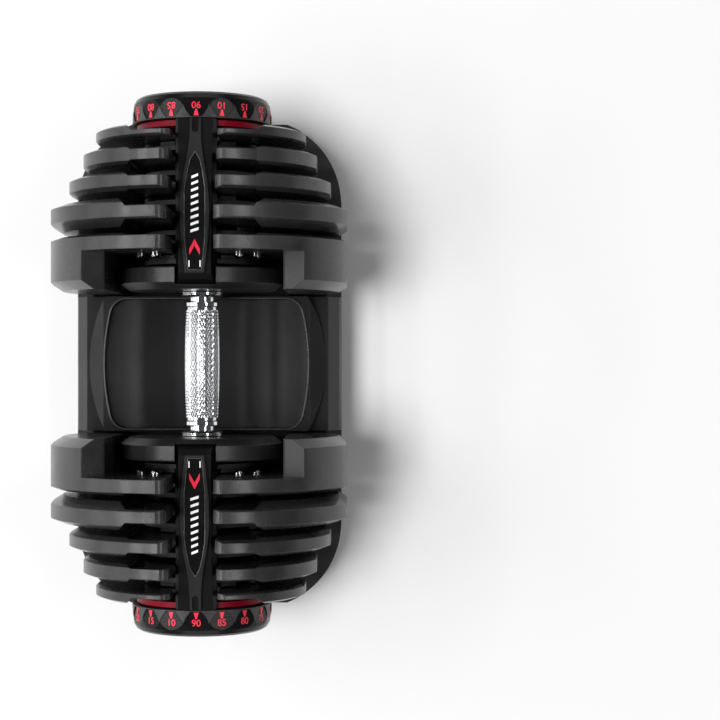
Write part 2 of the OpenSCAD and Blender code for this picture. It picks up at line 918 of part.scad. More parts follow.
module base_tray() {
    color([0.15, 0.15, 0.16])
        difference() {
            translate([0, 0, foot_height])
                linear_extrude(tray_height - foot_height)
                    tray_outline(0);
            both_ends() {
                for (k = [plate_a : plate_e])
                    plate_well(k);
                arm_wells();
                post_socket();
            }
            tray_hollows();
            screw_places(tray_height - tray_wall - 1)
                cylinder(r = screw_hole, h = tray_wall + 2);
            foot_places(foot_height - 1)
                cylinder(r = foot_radius, h = 2.5);
        }
}

module post_socket() {
    y = slide_start + slide_thickness / 2;
    translate([-post_half + 0.5, y - 2, tray_height - axis_height - 8])
        cube([2 * post_half - 1, 4, 20]);
}

module release_posts() {
    y = slide_start + slide_thickness / 2;
    z0 = tray_height - axis_height - 8;
    color([0.5, 0.51, 0.53])
        both_ends()
            translate([-post_half + 0.5, y - 2, z0])
                cube([2 * post_half - 1, 4, post_top - axis_height - z0]);
}

// Barrel-shaped plan, wider at its middle than at its ends
module barrel(half_mid, half_end, y_end) {
    sag = half_mid - half_end;
    r = (y_end * y_end + sag * sag) / (2 * sag);
    intersection() {
        square([2 * half_mid + 2, 2 * y_end], center = true);
        translate([half_mid - r, 0])
            circle(r);
        translate([r - half_mid, 0])
            circle(r);
    }
}

// One quarter of the dish's outline: half of a bowed side, then the rounded corner
function dish_quarter(half_mid, half_end, y_end, corner) =
    let (sag = half_mid - half_end)
    let (r = (y_end * y_end + sag * sag) / (2 * sag))
    let (cy = y_end - corner)
    let (along = sqrt((r - corner) * (r - corner) - cy * cy))
    let (lean = atan2(cy, along))
    concat(
        [for (i = [0:corner_steps])
            let (a = lean * i / corner_steps)
            [half_mid - r + r * cos(a), r * sin(a)]],
        [for (i = [1:corner_steps])
            let (a = lean + (90 - lean) * i / corner_steps)
            [half_mid - r + along + corner * cos(a), cy + corner * sin(a)]]);

module dish_plan(half_mid, half_end, y_end, corner) {
    q = dish_quarter(half_mid, half_end, y_end, corner);
    last = len(q) - 1;
    polygon(concat(
        q,
        [for (i = [last:-1:1]) [-q[i][0], q[i][1]]],
        [for (p = q) -p],
        [for (i = [last:-1:1]) [q[i][0], -q[i][1]]]));
}

// Hand dish between the two sets of plates, on a shoulder that slopes to the tray's sides
module base_console() {
    w = tray_half_width;
    rim = console_height;
    rim_half = dish_half_width;
    sag = dish_depth - 4;
    bowl = (rim_half * rim_half + sag * sag) / (2 * sag);
    color([0.19, 0.19, 0.2])
        difference() {
            union() {
                slab(-console_end, console_end)
                    polygon([[-w, tray_height], [w, tray_height], [w - 1.5, tray_height + 5],
                        [w - 11, rim - 12], [-w + 11, rim - 12], [-w + 1.5, tray_height + 5]]);
                intersection() {
                    translate([0, 0, rim - 20])
                        linear_extrude(21)
                            barrel(rim_half + 15, rim_half, console_end);
                    slab(-console_end, console_end)
                        polygon([[-rim_half - 16, rim - 20], [-rim_half - 16, rim - 12], [-rim_half - 2, rim],
                            [rim_half + 2, rim], [rim_half + 16, rim - 12], [rim_half + 16, rim - 20]]);
                }
                translate([0, 0, rim - 2])
                    linear_extrude(3)
                        dish_plan(rim_half + dish_lip, rim_half - 8 + dish_lip, dish_end + dish_lip,
                            dish_corner + dish_lip);
            }
            intersection() {
                translate([0, 0, rim - dish_depth - 1])
                    linear_extrude(60)
                        dish_plan(rim_half, rim_half - 8, dish_end, dish_corner);
                slab(-console_end, console_end)
                    translate([0, rim - dish_depth + bowl])
                        circle(bowl);
            }
            screw_places(tray_height - 1)
                cylinder(r = screw_hole, h = 9);
        }
}

module foot_places(z) {
    for (sx = [-1, 1])
        for (sy = [-1, 1])
            translate([sx * foot_side, sy * foot_along, z])
                children();
}

module base_feet() {
    color([0.08, 0.08, 0.08])
        foot_places(0)
            cylinder(r = foot_radius, h = foot_height + 1.5);
}

module base_screws() {
    color([0.6, 0.61, 0.63])
        screw_places(tray_height - tray_wall - 2.4) {
            cylinder(r = 4, h = 2.4);
            cylinder(r = screw_hole, h = tray_wall + 9);
        }
}

// ---------- nodes ----------

base_tray();
base_console();
base_feet();
base_screws();
release_posts();
handle_shaft();
grip_sleeve();
grip_rings();
hand_flanges();
shaft_nuts();
inner_disc(front);  // inner_disc_front
inner_disc(rear);  // inner_disc_rear
disc_cover(front);  // disc_cover_front
disc_cover(rear);  // disc_cover_rear
cover_screws();
spine(front);  // spine_front
spine(rear);  // spine_rear
spine_inlay(front);  // spine_inlay_front
spine_inlay(rear);  // spine_inlay_rear
lock_ring(front);  // lock_ring_front
lock_ring(rear);  // lock_ring_rear
lock_spring(front);  // lock_spring_front
lock_spring(rear);  // lock_spring_rear
lock_slide(front);  // lock_slide_front
lock_slide(rear);  // lock_slide_rear
dial(front);  // dial_front
dial(rear);  // dial_rear
dial_wedges(front);  // dial_wedges_front
dial_wedges(rear);  // dial_wedges_rear
dial_cap(front);  // dial_cap_front
dial_cap(rear);  // dial_cap_rear
rotor_sleeve(front);  // rotor_sleeve_front
rotor_sleeve(rear);  // rotor_sleeve_rear
selector_discs(front);  // selector_discs_front
selector_discs(rear);  // selector_discs_rear
plate(plate_a, front);  // plate_a_front
plate(plate_b, front);  // plate_b_front
plate(plate_c, front);  // plate_c_front
plate(plate_d, front);  // plate_d_front
plate_with_arms(front);  // plate_e_front
plate(plate_a, rear);  // plate_a_rear
plate(plate_b, rear);  // plate_b_rear
plate(plate_c, rear);  // plate_c_rear
plate(plate_d, rear);  // plate_d_rear
plate_with_arms(rear);  // plate_e_rear
plate_rivets(front);  // plate_rivets_front
plate_rivets(rear);  // plate_rivets_rear
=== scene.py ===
"""Looks of a dial-type adjustable dumbbell that stands in its base tray."""
import math

import bpy
import bmesh
from mathutils import Matrix, Vector
from mathutils.bvhtree import BVHTree


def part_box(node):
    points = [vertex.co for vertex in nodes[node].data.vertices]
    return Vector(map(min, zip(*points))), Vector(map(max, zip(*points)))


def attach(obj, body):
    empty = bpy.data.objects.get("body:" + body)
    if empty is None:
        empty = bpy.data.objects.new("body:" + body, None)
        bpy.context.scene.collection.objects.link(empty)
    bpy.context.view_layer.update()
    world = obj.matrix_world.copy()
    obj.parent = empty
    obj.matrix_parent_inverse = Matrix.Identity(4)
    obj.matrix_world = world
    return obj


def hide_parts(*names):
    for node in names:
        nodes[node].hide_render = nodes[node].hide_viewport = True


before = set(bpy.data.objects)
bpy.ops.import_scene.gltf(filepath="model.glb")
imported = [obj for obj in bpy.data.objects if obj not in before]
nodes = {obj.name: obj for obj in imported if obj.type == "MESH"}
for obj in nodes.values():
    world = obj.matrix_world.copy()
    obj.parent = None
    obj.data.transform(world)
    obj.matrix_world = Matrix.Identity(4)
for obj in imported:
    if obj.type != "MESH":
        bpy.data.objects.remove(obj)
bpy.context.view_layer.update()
ENDS = ("front", "rear")
MM = 0.001

# ---------- places taken from the frame ----------


def low_high(node, axis):
    low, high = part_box(node)
    return low[axis], high[axis]


def middle(node, axis):
    return sum(low_high(node, axis)) / 2


def size(node, axis):
    low, high = low_high(node, axis)
    return high - low


AXIS_Z = middle("handle_shaft", 2)
DIAL_INNER = low_high("dial_rear", 1)[0]
DIAL_RADIUS = size("dial_rear", 0) / 2
INLAY_START = low_high("spine_inlay_rear", 1)[0]
SPINE_TOP = low_high("spine_rear", 2)[1]
FALL_LENGTH = 60 * MM
FALL_DEPTH = 8.5 * MM
FALL_START = low_high("spine_rear", 1)[1] - FALL_LENGTH
FALL_SLOPE = FALL_DEPTH / FALL_LENGTH

# ---------- camera ----------

CAMERA_ASIDE = 0.132
CAMERA_ALONG = 0.0032
CAMERA_ABOVE_AXIS = 1.541
FOCAL = 92.1
SENSOR = 36


def add_camera():
    data = bpy.data.cameras.new("camera")
    data.lens = FOCAL
    data.sensor_width = SENSOR
    data.clip_start = 0.05
    data.clip_end = 20
    camera = bpy.data.objects.new("camera", data)
    camera.location = (CAMERA_ASIDE, CAMERA_ALONG, AXIS_Z + CAMERA_ABOVE_AXIS)
    bpy.context.collection.objects.link(camera)
    bpy.context.scene.camera = camera


add_camera()
bpy.context.scene.view_settings.view_transform = "Standard"

# ---------- node helpers ----------


class Graph:
    """A small wrapper that keeps node trees short to write."""

    def __init__(self, name):
        self.material = bpy.data.materials.new(name)
        self.material.use_nodes = True
        self.tree = self.material.node_tree
        self.tree.nodes.clear()
        out = self.add("ShaderNodeOutputMaterial")
        self.shader = self.add("ShaderNodeBsdfPrincipled")
        self.link(self.shader.outputs[0], out.inputs[0])
        self.place = self.add("ShaderNodeTexCoord").outputs["Object"]

    def add(self, kind, **values):
        node = self.tree.nodes.new(kind)
        for key, value in values.items():
            setattr(node, key, value)
        return node

    def link(self, a, b):
        self.tree.links.new(a, b)

    def put(self, node, socket, value):
        if hasattr(value, "is_output"):
            self.link(value, node.inputs[socket])
        else:
            node.inputs[socket].default_value = value

    def math(self, operation, a, b=0.0, clamp=False):
        node = self.add("ShaderNodeMath", operation=operation, use_clamp=clamp)
        self.put(node, 0, a)
        self.put(node, 1, b)
        return node.outputs[0]

    def noise(self, scale, detail=4.0, rough=0.55, stretch=None):
        node = self.add("ShaderNodeTexNoise")
        place = self.place
        if stretch:
            turn = self.add("ShaderNodeMapping")
            turn.inputs["Scale"].default_value = stretch
            self.link(place, turn.inputs["Vector"])
            place = turn.outputs[0]
        self.link(place, node.inputs["Vector"])
        node.inputs["Scale"].default_value = scale
        node.inputs["Detail"].default_value = detail
        node.inputs["Roughness"].default_value = rough
        return node.outputs["Fac"]

    def ramp(self, fac, low, high, from_value=0.0, to_value=1.0):
        node = self.add("ShaderNodeMapRange")
        self.put(node, 0, fac)
        for socket, value in enumerate((low, high, from_value, to_value), 1):
            node.inputs[socket].default_value = value
        return node.outputs[0]

    def mix(self, fac, a, b):
        node = self.add("ShaderNodeMix", data_type="RGBA")
        self.put(node, 0, fac)
        for socket, value in ((6, a), (7, b)):
            if hasattr(value, "is_output"):
                self.link(value, node.inputs[socket])
            else:
                node.inputs[socket].default_value = (*value, 1.0)
        return node.outputs[2]

    def rounded(self, radius):
        """Normal that softens sharp edges over this radius."""
        node = self.add("ShaderNodeBevel", samples=6)
        node.inputs["Radius"].default_value = radius
        return node.outputs[0]

    def bump(self, height, strength, distance, normal=None):
        node = self.add("ShaderNodeBump")
        node.inputs["Strength"].default_value = strength
        node.inputs["Distance"].default_value = distance
        self.link(height, node.inputs["Height"])
        if normal is not None:
            self.link(normal, node.inputs["Normal"])
        return node.outputs[0]

    def pointed(self):
        """High on convex edges, low in hollows."""
        return self.add("ShaderNodeNewGeometry").outputs["Pointiness"]

    def from_axis(self):
        """Distance from the handle's centre line."""
        parts = self.add("ShaderNodeSeparateXYZ")
        self.link(self.place, parts.inputs[0])
        up = self.math("SUBTRACT", parts.outputs["Z"], AXIS_Z)
        return self.math("SQRT", self.math("ADD", self.math("POWER", parts.outputs["X"], 2.0),
                                           self.math("MULTIPLY", up, up)))


# ---------- material makers ----------

ALONG_HANDLE = (1.0, 0.06, 1.0)
GRAIN_DEPTH = 0.4 * MM
SCRATCH_DEPTH = 0.2 * MM
PEEL_DEPTH = 0.3 * MM
RAISED_DEPTH = 1.5 * MM
RAISED_EDGE = 0.5 * MM
POCKET_EDGE = 0.25 * MM
RIB_DEPTH = 0.2 * MM


def brighter(color, factor):
    return tuple(min(1.0, c * factor + 0.004) for c in color)


def moulded(name, dark, light, rough=0.42, grain=0.3, grain_scale=1100.0, edge=0.6, streak=0.0, shine=0.4):
    """Satin moulded skin: leather-fine grain, cloudy tone, convex edges painted lighter as a painted
    highlight, and smoother smears.
    """
    g = Graph(name)
    cloud = g.noise(16.0, 5.0, 0.6)
    speck = g.noise(700.0, 3.0, 0.6)
    tone = g.math("ADD", g.math("MULTIPLY", cloud, 0.6), g.math("MULTIPLY", speck, 0.4))
    color = g.mix(g.ramp(tone, 0.38, 0.62), dark, light)
    # Painted highlight: convex edges are painted up to 2.4 times lighter than the skin, patchy along their
    # length
    painted_edge_highlight = g.math("MULTIPLY", g.ramp(g.pointed(), 0.53, 0.62), g.ramp(cloud, 0.35, 0.6, 0.2, 0.6))
    g.put(g.shader, "Base Color", g.mix(painted_edge_highlight, color, brighter(light, 2.4)))
    smear = g.noise(42.0, 5.0, 0.65, (1.0, 0.35, 1.0))
    fine = g.math("ADD", g.math("MULTIPLY", smear, 0.6), g.math("MULTIPLY", speck, 0.4))
    g.put(g.shader, "Roughness", g.ramp(fine, 0.35, 0.65, rough - 0.06, rough + 0.07))
    texture = g.noise(grain_scale, 3.0, 0.6)
    if streak:
        lines = g.noise(900.0, 3.0, 0.6, ALONG_HANDLE)
        texture = g.math("ADD", g.math("MULTIPLY", texture, 1 - streak), g.math("MULTIPLY", lines, streak))
    g.put(g.shader, "Normal", g.bump(texture, grain, GRAIN_DEPTH, g.rounded(edge * MM)))
    g.shader.inputs["Specular IOR Level"].default_value = shine
    return g.material


def metal(name, base, rough, scale=300.0, stretch=None, bump=0.05, variation=0.08, edge=0.3):
    """Plated or machined metal with streaks, slight clouding and hairline scratches."""
    g = Graph(name)
    streaks = g.noise(scale, 4.0, 0.6, stretch)
    cloud = g.noise(24.0, 4.0, 0.6)
    tone = g.math("ADD", g.math("MULTIPLY", streaks, 0.5), g.math("MULTIPLY", cloud, 0.5))
    low = tuple(c * (1 - variation) for c in base)
    high = tuple(min(1.0, c * (1 + variation)) for c in base)
    g.put(g.shader, "Base Color", g.mix(g.ramp(tone, 0.35, 0.65), low, high))
    g.shader.inputs["Metallic"].default_value = 1.0
    g.put(g.shader, "Roughness", g.ramp(tone, 0.3, 0.7, max(0.03, rough - 0.04), rough + 0.05))
    g.put(g.shader, "Normal", g.bump(streaks, bump, SCRATCH_DEPTH, g.rounded(edge * MM)))
    return g.material


def glossy(name, dark, light, rough=0.14, coat=0.6, shine=0.5):
    """Glossy plastic with fine orange peel and dust."""
    g = Graph(name)
    peel = g.noise(220.0, 2.0, 0.5)
    cloud = g.noise(34.0, 5.0, 0.6)
    dust = g.ramp(g.noise(1500.0, 2.0, 0.5), 0.66, 0.74, 0.0, 0.25)
    color = g.mix(g.ramp(cloud, 0.35, 0.65), dark, light)
    g.put(g.shader, "Base Color", g.mix(dust, color, brighter(light, 1.8)))
    g.put(g.shader, "Roughness", g.ramp(cloud, 0.3, 0.7, max(0.03, rough - 0.03), rough + 0.08))
    g.shader.inputs["Coat Weight"].default_value = coat
    g.shader.inputs["Coat Roughness"].default_value = 0.07
    g.shader.inputs["Specular IOR Level"].default_value = shine
    g.put(g.shader, "Normal", g.bump(peel, 0.06, PEEL_DEPTH, g.rounded(0.3 * MM)))
    return g.material


def dial_skin(name, dark, light, pocket, edge_at):
    """Moulded dial: its ribs are satin grey and its sunk pockets are near black."""
    g = Graph(name)
    cloud = g.noise(20.0, 5.0, 0.6)
    speck = g.noise(800.0, 3.0, 0.6)
    tone = g.math("ADD", g.math("MULTIPLY", cloud, 0.5), g.math("MULTIPLY", speck, 0.5))
    rib = g.mix(g.ramp(tone, 0.38, 0.62), dark, light)
    sunk = g.mix(g.ramp(tone, 0.38, 0.62), pocket, brighter(pocket, 1.3))
    depth = g.ramp(g.from_axis(), edge_at - POCKET_EDGE, edge_at)
    g.put(g.shader, "Base Color", g.mix(depth, sunk, rib))
    dull = g.ramp(tone, 0.35, 0.65, 0.36, 0.46)
    g.put(g.shader, "Roughness", g.math("MULTIPLY", dull, g.ramp(depth, 0.0, 1.0, 0.55, 1.0)))
    g.put(g.shader, "Specular IOR Level", g.ramp(depth, 0.0, 1.0, 0.18, 0.5))
    g.put(g.shader, "Normal", g.bump(g.noise(1200.0, 3.0, 0.6), 0.22, GRAIN_DEPTH, g.rounded(0.5 * MM)))
    return g.material


def spine_skin(name, sides, dark, light):
    """Near-black housing whose raised top is a satin grey; the top's height falls towards the dial."""
    g = Graph(name)
    speck = g.noise(800.0, 3.0, 0.6)
    cloud = g.noise(18.0, 5.0, 0.6)
    tone = g.math("ADD", g.math("MULTIPLY", cloud, 0.5), g.math("MULTIPLY", speck, 0.5))
    top = g.mix(g.ramp(tone, 0.38, 0.62), dark, light)
    parts = g.add("ShaderNodeSeparateXYZ")
    g.link(g.place, parts.inputs[0])
    along = g.math("ABSOLUTE", parts.outputs["Y"])
    fallen = g.math("MULTIPLY", g.math("MAXIMUM", g.math("SUBTRACT", along, FALL_START), 0.0), FALL_SLOPE)
    level = g.math("ADD", parts.outputs["Z"], fallen)
    raised = g.ramp(level, SPINE_TOP - RAISED_DEPTH, SPINE_TOP - RAISED_DEPTH + RAISED_EDGE)
    g.put(g.shader, "Base Color", g.mix(raised, sides, top))
    g.put(g.shader, "Roughness", g.ramp(tone, 0.35, 0.65, 0.40, 0.50))
    g.shader.inputs["Specular IOR Level"].default_value = 0.35
    g.put(g.shader, "Normal", g.bump(g.noise(1200.0, 3.0, 0.6), 0.22, GRAIN_DEPTH, g.rounded(0.5 * MM)))
    return g.material


# ---------- materials ----------

PLATE = moulded("plate_skin", (0.011, 0.011, 0.011), (0.019, 0.019, 0.019), 0.23, 0.22,
                edge=1.2, streak=0.4)
TRAY = moulded("tray_plastic", (0.010, 0.010, 0.010), (0.017, 0.017, 0.017), 0.40, 0.28)
CONSOLE = moulded("console_plastic", (0.009, 0.009, 0.009), (0.015, 0.015, 0.015), 0.34, 0.18,
                  edge=1.0, shine=0.25)
HOUSING = moulded("housing_plastic", (0.006, 0.006, 0.006), (0.012, 0.012, 0.012), 0.32, 0.22, streak=0.6)
CAP = moulded("cap_plastic", (0.008, 0.008, 0.008), (0.015, 0.015, 0.015), 0.36, 0.18)
SELECTOR = moulded("selector_plastic", (0.006, 0.006, 0.006), (0.012, 0.012, 0.012), 0.44, 0.18, shine=0.25)
RUBBER = moulded("rubber_foot", (0.008, 0.008, 0.008), (0.016, 0.016, 0.016), 0.72, 0.5, 700.0)
POST = moulded("post_plastic", (0.016, 0.016, 0.017), (0.030, 0.030, 0.031), 0.30, 0.12)
SPINE = spine_skin("spine_plastic", (0.002, 0.002, 0.002), (0.010, 0.010, 0.010), (0.018, 0.018, 0.018))
DIAL = dial_skin("dial_plastic", (0.018, 0.018, 0.019), (0.032, 0.032, 0.033), (0.002, 0.002, 0.002),
                 DIAL_RADIUS - RIB_DEPTH)
RED = glossy("red_plastic", (0.11, 0.000, 0.006), (0.17, 0.001, 0.010), 0.34, 0.0, shine=0.12)
RED_PRINT = glossy("red_print", (0.62, 0.018, 0.045), (0.76, 0.028, 0.062), 0.42, 0.0)
WHITE_PRINT = glossy("white_print", (0.72, 0.72, 0.72), (0.86, 0.86, 0.86), 0.35, 0.2)
# Painted highlight: the dish's bead belongs to the console moulding but is painted about three times
# lighter than it
BEAD = moulded("console_bead", (0.030, 0.030, 0.030), (0.045, 0.045, 0.045), 0.26, 0.1, edge=0.2)
INLAY = glossy("gloss_black", (0.002, 0.002, 0.002), (0.005, 0.005, 0.005), 0.14, 0.3)
TRIM = metal("trim_grey", (0.30, 0.30, 0.30), 0.36, 500.0, None, 0.06, 0.12)
CHROME = metal("bright_chrome", (0.80, 0.81, 0.83), 0.10, 260.0, None, 0.03)
GRIP = metal("grip_chrome", (0.78, 0.79, 0.81), 0.13, 420.0, None, 0.05)
STEEL = metal("bar_steel", (0.50, 0.51, 0.53), 0.28, 500.0, ALONG_HANDLE, 0.12)
ZINC = metal("screw_steel", (0.56, 0.57, 0.59), 0.30, 700.0, None, 0.15)
SPRING = metal("spring_steel", (0.46, 0.47, 0.49), 0.25, 700.0, None, 0.10)
SLIDE = metal("slide_steel", (0.50, 0.46, 0.36), 0.32, 400.0, (1.0, 1.0, 0.1), 0.12)
SLEEVE = metal("sleeve_steel", (0.40, 0.41, 0.43), 0.34, 500.0, ALONG_HANDLE, 0.12)

NODE_LOOKS = {
    "base_tray": TRAY, "base_console": CONSOLE, "base_feet": RUBBER, "base_screws": ZINC,
    "release_posts": POST, "handle_shaft": STEEL, "grip_sleeve": GRIP, "grip_rings": CHROME,
    "hand_flanges": CHROME, "shaft_nuts": ZINC, "inner_disc": HOUSING, "disc_cover": HOUSING,
    "cover_screws": ZINC, "spine": SPINE, "spine_inlay": INLAY, "lock_ring": RED,
    "lock_spring": SPRING, "lock_slide": SLIDE, "dial": DIAL, "dial_wedges": RED_PRINT,
    "dial_cap": CAP, "rotor_sleeve": SLEEVE, "selector_discs": SELECTOR, "plate_rivets": CHROME,
}


def look_of(name):
    """Plates share one look; every other piece is listed by its name without its end."""
    stem = name
    for end in ENDS:
        stem = stem.removesuffix("_" + end)
    return NODE_LOOKS.get(stem, PLATE)


def dress_nodes():
    for name, thing in nodes.items():
        thing.data.materials.clear()
        thing.data.materials.append(look_of(name))


# ---------- mesh helpers ----------


def add_piece(name, mesh_data, material, body):
    mesh_data.materials.append(material)
    piece = bpy.data.objects.new(name, mesh_data)
    bpy.context.collection.objects.link(piece)
    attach(piece, body)
    return piece


def mesh_from(name, shape):
    bmesh.ops.recalc_face_normals(shape, faces=shape.faces)
    data = bpy.data.meshes.new(name)
    shape.to_mesh(data)
    shape.free()
    return data


def end_turn(end):
    """Turns what is drawn for the rear end to the front end."""
    return Matrix.Rotation(math.pi if end == "front" else 0.0, 4, "Z")


# ---------- knurled grip ----------

KNURL_ROUND = 37
KNURL_DEPTH = 0.60 * MM
KNURL_PITCH = 2.5 * MM
GRIP_BAND = 3.0 * MM
PEAK_SINK = 0.03 * MM
BAND_SINK = 0.05 * MM
EDGE_SINK = 0.25 * MM
EDGE_LENGTH = 0.3 * MM
BAND_STEP = 0.2 * MM
GRIP_BORE = size("handle_shaft", 0) / 2


def grip_profile():
    """Radius of the grip as a function of the place along the handle: a shallow barrel."""
    half = size("grip_sleeve", 1) / 2
    mid = size("grip_sleeve", 0) / 2
    ends = [v.co for v in nodes["grip_sleeve"].data.vertices if abs(v.co.y) > half - 0.1 * MM]
    end = max(math.hypot(p.x, p.z - AXIS_Z) for p in ends)
    sag = mid - end
    crown = (half * half + sag * sag) / (2 * sag)
    return half, lambda y: mid - crown + math.sqrt(crown * crown - y * y)


def knurled_grip():
    half, radius_at = grip_profile()
    inside = half - GRIP_BAND
    rows = 2 * round(2 * inside / KNURL_PITCH / 2)
    columns = 2 * KNURL_ROUND
    shape = bmesh.new()

    def ring(y, sink):
        made = []
        for i in range(columns):
            angle = 2 * math.pi * i / columns
            radius = radius_at(y) - sink(i)
            made.append(shape.verts.new((radius * math.sin(angle), y, AXIS_Z + radius * math.cos(angle))))
        return made

    rings = [ring(-half, lambda i: radius_at(half) - GRIP_BORE)]
    rings.append(ring(-half, lambda i: EDGE_SINK))
    rings.append(ring(-half + EDGE_LENGTH, lambda i: BAND_SINK))
    rings.append(ring(-inside - BAND_STEP, lambda i: BAND_SINK))
    for j in range(rows + 1):
        rings.append(ring(-inside + 2 * inside * j / rows,
                          lambda i, j=j: KNURL_DEPTH if (i + j) % 2 == 0 else PEAK_SINK))
    rings.append(ring(inside + BAND_STEP, lambda i: BAND_SINK))
    rings.append(ring(half - EDGE_LENGTH, lambda i: BAND_SINK))
    rings.append(ring(half, lambda i: EDGE_SINK))
    rings.append(ring(half, lambda i: radius_at(half) - GRIP_BORE))
    for j in range(len(rings)):
        below, above = rings[j - 1], rings[j]
        for i in range(columns):
            k = (i + 1) % columns
            # The fold follows the groove, which joins the two sunk corners
            if (i + j) % 2 == 0:
                shape.faces.new((below[i], below[k], above[i]))
                shape.faces.new((below[k], above[k], above[i]))
            else:
                shape.faces.new((below[i], below[k], above[k]))
                shape.faces.new((below[i], above[k], above[i]))
    piece = add_piece("knurled_grip", mesh_from("knurled_grip", shape), GRIP, "handle")
    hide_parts("grip_sleeve")


# ---------- numbers round the dials ----------

SETTINGS = 17
LIGHTEST = 10
HEAVIEST = 90
WEIGHT_STEP = 5
NUMBER_HEIGHT = 5.4 * MM
FONT_SIZE_PER_HEIGHT = 1.42
NUMBER_WEIGHT = 0.10 * MM
NUMBER_PLACE = 11.2 * MM
POCKET_DEPTH = 1.4 * MM
PRINT_THICKNESS = 0.18 * MM


def number_mesh(text):
    curve = bpy.data.curves.new("number", "FONT")
    curve.body = text
    curve.align_x = "CENTER"
    curve.align_y = "CENTER"
    curve.size = NUMBER_HEIGHT * FONT_SIZE_PER_HEIGHT
    curve.offset = NUMBER_WEIGHT
    curve.extrude = PRINT_THICKNESS / 2
    curve.resolution_u = 6
    holder = bpy.data.objects.new("number", curve)
    bpy.context.collection.objects.link(holder)
    bpy.context.view_layer.update()
    made = bpy.data.meshes.new_from_object(holder)
    bpy.data.objects.remove(holder)
    bpy.data.curves.remove(curve)
    return made


def dial_numbers(end):
    shape = bmesh.new()
    seat = Vector((0, DIAL_INNER + NUMBER_PLACE, DIAL_RADIUS - POCKET_DEPTH + PRINT_THICKNESS / 2))
    # Read from the dial's outer face: the top of each number points at the spine
    stand = Matrix.Translation(seat) @ Matrix.Rotation(math.pi, 4, "Z")
    for j in range(SETTINGS):
        weight = HEAVIEST if j == 0 else LIGHTEST + WEIGHT_STEP * (j - 1)
        made = number_mesh(str(weight))
        turn = Matrix.Rotation(2 * math.pi * j / SETTINGS, 4, "Y")
        made.transform(end_turn(end) @ Matrix.Translation((0, 0, AXIS_Z)) @ turn @ stand)
        shape.from_mesh(made)
        bpy.data.meshes.remove(made)
    add_piece("dial_numbers_" + end, mesh_from("dial_numbers_" + end, shape), RED_PRINT,
              "selector_" + end)


# ---------- trim and print on the spine's inlay, and the dish's bead ----------

BEAD_RADIUS = 0.75 * MM
BEAD_STEPS = 6
TRIM_WIDTH = 0.7 * MM
TRIM_TOP = 0.49 * MM
TRIM_RISE = 0.3 * MM
PRINT_LIFT = 0.06 * MM
PRINT_BODY = 0.048 * MM
FLAT_FACE = 0.9
LEVEL_ROOM = 0.1 * MM
WELD = 0.005 * MM
HAIRLINE_ASIDE = 4.4 * MM
HAIRLINE_START = 2.6 * MM
HAIRLINE_WIDTH = 0.9 * MM
HAIRLINE_LENGTH = 5.2 * MM
SLATS = 9
SLAT_START = 31 * MM
SLAT_PITCH = 5.4 * MM
SLAT_WIDTH = 6.6 * MM
SLAT_NARROWING = 0.16 * MM
SLAT_LENGTH = 2.2 * MM
SLAT_SLANT = 1.1 * MM
ARROW_TIP = 25 * MM
ARROW_HALF = 4.2 * MM
ARROW_SWEEP = 8 * MM
ARROW_TAIL = 13 * MM
ARROW_NOTCH = 5.5 * MM


def top_of(node, above=None):
    """Welded copy of a node's upward faces, or of those above a height."""
    shape = bmesh.new()
    shape.from_mesh(nodes[node].data)
    bmesh.ops.remove_doubles(shape, verts=shape.verts, dist=WELD)
    shape.normal_update()
    lowest = low_high(node, 2)[0] if above is None else above
    away = [f for f in shape.faces if f.normal.z < FLAT_FACE or f.calc_center_median().z < lowest]
    bmesh.ops.delete(shape, geom=away, context="FACES")
    return shape


def outlines_of(shape):
    """The closed loops of vertices round an open patch of faces, each in order."""
    left = [e for e in shape.edges if len(e.link_faces) == 1]
    loops = []
    while left:
        first = left.pop(0)
        loop = [first.verts[0]]
        here = first.verts[1]
        while here is not loop[0]:
            loop.append(here)
            edge = next(e for e in here.link_edges if e in left)
            left.remove(edge)
            here = edge.other_vert(here)
        loops.append([v.co.copy() for v in loop])
    return loops


def length_of(path):
    return sum((b - a).length for a, b in zip(path, path[1:] + path[:1]))


def sides_of(path):
    """For each point of a closed path, the level direction that points into it."""
    area = sum(a.x * b.y - b.x * a.y for a, b in zip(path, path[1:] + path[:1]))
    inward = 1.0 if area > 0 else -1.0
    sides = []
    for k in range(len(path)):
        along = path[(k + 1) % len(path)] - path[k - 1]
        sides.append(Vector((-along.y, along.x, 0)).normalized() * inward)
    return sides


def swept(path, section_at):
    """A closed bead: the section given for each point, joined to the next point's."""
    shape = bmesh.new()
    rings = []
    for here, side in zip(path, sides_of(path)):
        rings.append([shape.verts.new(p) for p in section_at(here, side)])
    for a, b in zip(rings, rings[1:] + rings[:1]):
        for i in range(len(a)):
            j = (i + 1) % len(a)
            shape.faces.new((a[i], a[j], b[j], b[i]))
    return shape


def inlay_trim(end):
    """Thin bright line that runs round the inlay's edge."""
    top = top_of("spine_inlay_" + end)
    path = max(outlines_of(top), key=length_of)
    top.free()

    def section(here, side):
        up = Vector((0, 0, TRIM_RISE))
        return here, here + up, here + up + side * TRIM_TOP, here + side * TRIM_WIDTH

    shape = swept(path, section)
    add_piece("inlay_trim_" + end, mesh_from("inlay_trim_" + end, shape), TRIM, "handle")


def dish_bead():
    """Half-round bead on the lip round the console's dish."""
    lip_z = low_high("base_console", 2)[1]
    lip = top_of("base_console", lip_z - LEVEL_ROOM)
    path = min(outlines_of(lip), key=length_of)
    lip.free()

    def section(here, side):
        heart = here - side * BEAD_RADIUS
        angles = [math.pi * k / BEAD_STEPS for k in range(BEAD_STEPS + 1)]
        return [heart + (side * math.cos(a) + Vector((0, 0, math.sin(a)))) * BEAD_RADIUS for a in angles]

    shape = swept(path, section)
    add_piece("dish_bead", mesh_from("dish_bead", shape), BEAD, "base")


